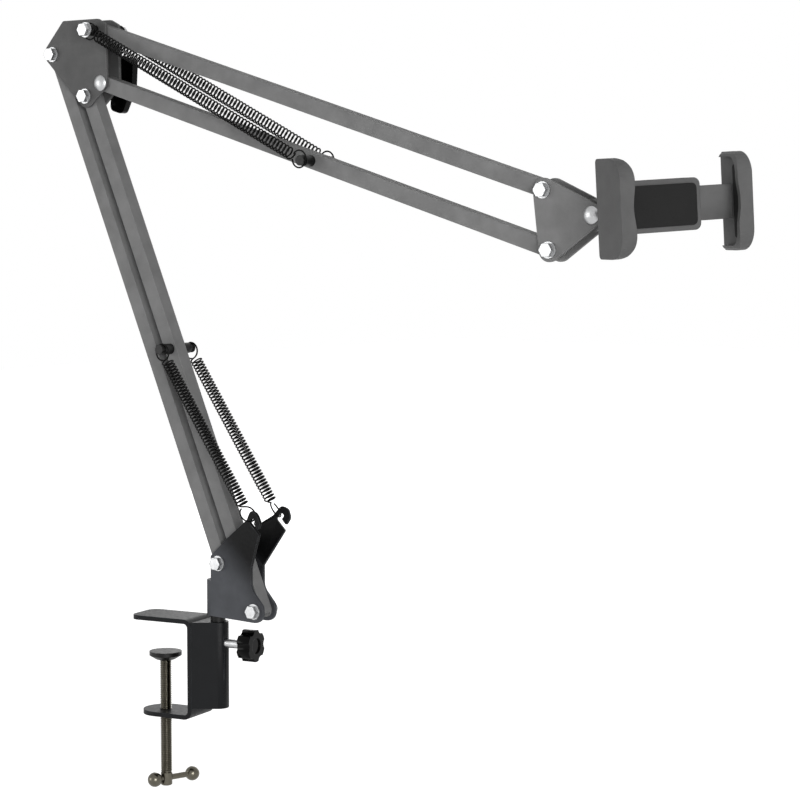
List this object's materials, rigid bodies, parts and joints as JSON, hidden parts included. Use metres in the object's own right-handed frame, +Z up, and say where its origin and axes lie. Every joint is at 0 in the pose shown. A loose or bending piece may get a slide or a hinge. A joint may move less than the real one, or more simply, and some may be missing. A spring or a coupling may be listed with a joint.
{
  "type": "overhead phone stand",
  "caption": "Overhead phone stand: desk clamp, spring-balanced folding arm of square tubes and a sprung phone clip on a ball joint.",
  "frame": {"origin": "centre line of the arm's plane on the underside of the clamp's top jaw, 38 mm behind the post's axis", "axes": "+X along the arm's reach, +Y along the arm's pivots, +Z up from the desk"},
  "size_m": [0.5352, 0.0899, 0.5213],
  "materials": {
    "clamp_black": "gloss",
    "bracket_grey": "satin",
    "plate_grey": "satin",
    "tube_grey": "satin",
    "pin_grey": "satin",
    "zinc": "bright",
    "nickel": "satin",
    "spring_black": "satin",
    "knob_black": "gloss",
    "clip_black": "matt",
    "pad_rubber": "matt"
  },
  "bodies": {
    "clamp": {"clamp_frame": "clamp_black", "post_socket": "clamp_black"},
    "pad": {"pressure_pad": "pin_grey"},
    "screw": {"clamp_screw": "nickel"},
    "cross_bar": {"tommy_bar": "nickel"},
    "lock_knob": {"socket_knob": "knob_black", "knob_stud": "zinc"},
    "base": {"base_bracket": "bracket_grey", "base_post": "clamp_black", "base_bolts": "zinc", "base_washers": "zinc", "base_nuts": "zinc", "lower_spring_front": "spring_black", "lower_spring_back": "spring_black"},
    "lower_front": {"lower_link_front": "tube_grey", "lower_spring_pin": "pin_grey"},
    "lower_rear": {"lower_link_rear": "tube_grey"},
    "elbow": {"elbow_plate_front": "plate_grey", "elbow_plate_back": "plate_grey", "spring_bolt": "zinc", "spring_bolt_sleeves": "pin_grey", "spring_bolt_nut": "zinc", "elbow_bolts": "zinc", "elbow_washers": "zinc", "elbow_nuts": "zinc", "elbow_lock_bolt": "zinc", "upper_spring_front": "spring_black", "upper_spring_back": "spring_black"},
    "elbow_wing": {"elbow_knob": "knob_black"},
    "upper_bottom": {"upper_link_bottom": "tube_grey", "upper_spring_pin": "pin_grey"},
    "upper_top": {"upper_link_top": "tube_grey"},
    "end": {"end_plate_front": "plate_grey", "end_plate_back": "plate_grey", "end_bolts": "zinc", "end_washers": "zinc", "end_nuts": "zinc", "head_lock_bolt": "zinc"},
    "head_wing": {"head_knob": "knob_black"},
    "head": {"swivel_block": "plate_grey", "ball_stem": "zinc"},
    "ball_nut": {"lock_nut": "knob_black"},
    "clip": {"fixed_jaw": "clip_black", "clip_cover": "clip_black", "cover_screws": "spring_black", "fixed_jaw_pad": "pad_rubber", "rest_pad": "pad_rubber"},
    "jaw": {"moving_jaw": "clip_black", "moving_jaw_pad": "pad_rubber"}
  },
  "joints": [
    {"name": "screw_feed", "type": "slide", "parent": "clamp", "child": "pad", "axis": [0, 0, 1], "range_m": [-0.0325, 0.0215]},
    {"name": "screw_turn", "type": "hinge", "parent": "pad", "child": "screw", "pos_m": [-0.00348, -0.00657, -0.11023], "axis": [0, 0, 1], "range_deg": [-9365, 6195]},
    {"name": "bar_slide", "type": "slide", "parent": "screw", "child": "cross_bar", "axis": [0.2756, 0.9613, 0], "range_m": [-0.0114, 0]},
    {"name": "socket_knob_turn", "type": "hinge", "parent": "clamp", "child": "lock_knob", "pos_m": [0.05825, 0.00321, -0.0132], "axis": [0.9877, 0.1564, 0], "continuous": true},
    {"name": "base_swivel", "type": "hinge", "parent": "clamp", "child": "base", "pos_m": [0.038, 0, 0], "axis": [0, 0, 1], "continuous": true},
    {"name": "lower_lean", "type": "hinge", "parent": "base", "child": "lower_front", "pos_m": [0.0755, 0, 0.0123], "axis": [0, 1, 0], "range_deg": [-7.5, 35], "deforming": ["lower_spring_front", "lower_spring_back"]},
    {"name": "lower_rear_pivot", "type": "hinge", "parent": "base", "child": "lower_rear", "pos_m": [0.04493, 0, 0.04182], "axis": [0, 1, 0], "range_deg": [-7.6, 35.1]},
    {"name": "elbow_level", "type": "hinge", "parent": "lower_front", "child": "elbow", "pos_m": [-0.07244, 0, 0.35416], "axis": [0, 1, 0], "range_deg": [-35.1, 7.6]},
    {"name": "elbow_knob_turn", "type": "hinge", "parent": "elbow", "child": "elbow_wing", "pos_m": [-0.05861, 0.0083, 0.3626], "axis": [0, 1, 0], "continuous": true},
    {"name": "upper_lean", "type": "hinge", "parent": "elbow", "child": "upper_bottom", "pos_m": [-0.05861, 0, 0.3626], "axis": [0, 1, 0], "range_deg": [-50, 20], "deforming": ["upper_spring_front", "upper_spring_back"]},
    {"name": "upper_top_pivot", "type": "hinge", "parent": "elbow", "child": "upper_top", "pos_m": [-0.06291, 0, 0.39814], "axis": [0, 1, 0], "range_deg": [-50.1, 20.1]},
    {"name": "end_level", "type": "hinge", "parent": "upper_bottom", "child": "end", "pos_m": [0.30383, 0, 0.2518], "axis": [0, 1, 0], "range_deg": [-20.1, 50.1]},
    {"name": "head_knob_turn", "type": "hinge", "parent": "end", "child": "head_wing", "pos_m": [0.33297, 0.0083, 0.27242], "axis": [0, 1, 0], "continuous": true},
    {"name": "head_tilt", "type": "hinge", "parent": "end", "child": "head", "pos_m": [0.33297, 0, 0.27242], "axis": [0, 1, 0], "range_deg": [-75, 75]},
    {"name": "clip_pan", "type": "hinge", "parent": "head", "child": "ball_nut", "pos_m": [0.37547, 0, 0.27812], "axis": [0, 0, 1], "range_deg": [-6, 68]},
    {"name": "clip_roll", "type": "hinge", "parent": "ball_nut", "child": "clip", "pos_m": [0.37547, 0, 0.27812], "axis": [0.8572, -0.515, 0], "continuous": true},
    {"name": "jaw_slide", "type": "slide", "parent": "clip", "child": "jaw", "axis": [0.5141, 0.8556, 0.061], "range_m": [-0.0215, 0.0065]}
  ],
  "couplings": [
    {"joint": "screw_turn", "follows": "screw_feed", "rad_per_m": 5026.5},
    {"joint": "lower_rear_pivot", "follows": "lower_lean", "ratio": 1},
    {"joint": "elbow_level", "follows": "lower_lean", "ratio": -1},
    {"joint": "upper_top_pivot", "follows": "upper_lean", "ratio": 1},
    {"joint": "end_level", "follows": "upper_lean", "ratio": -1}
  ]
}
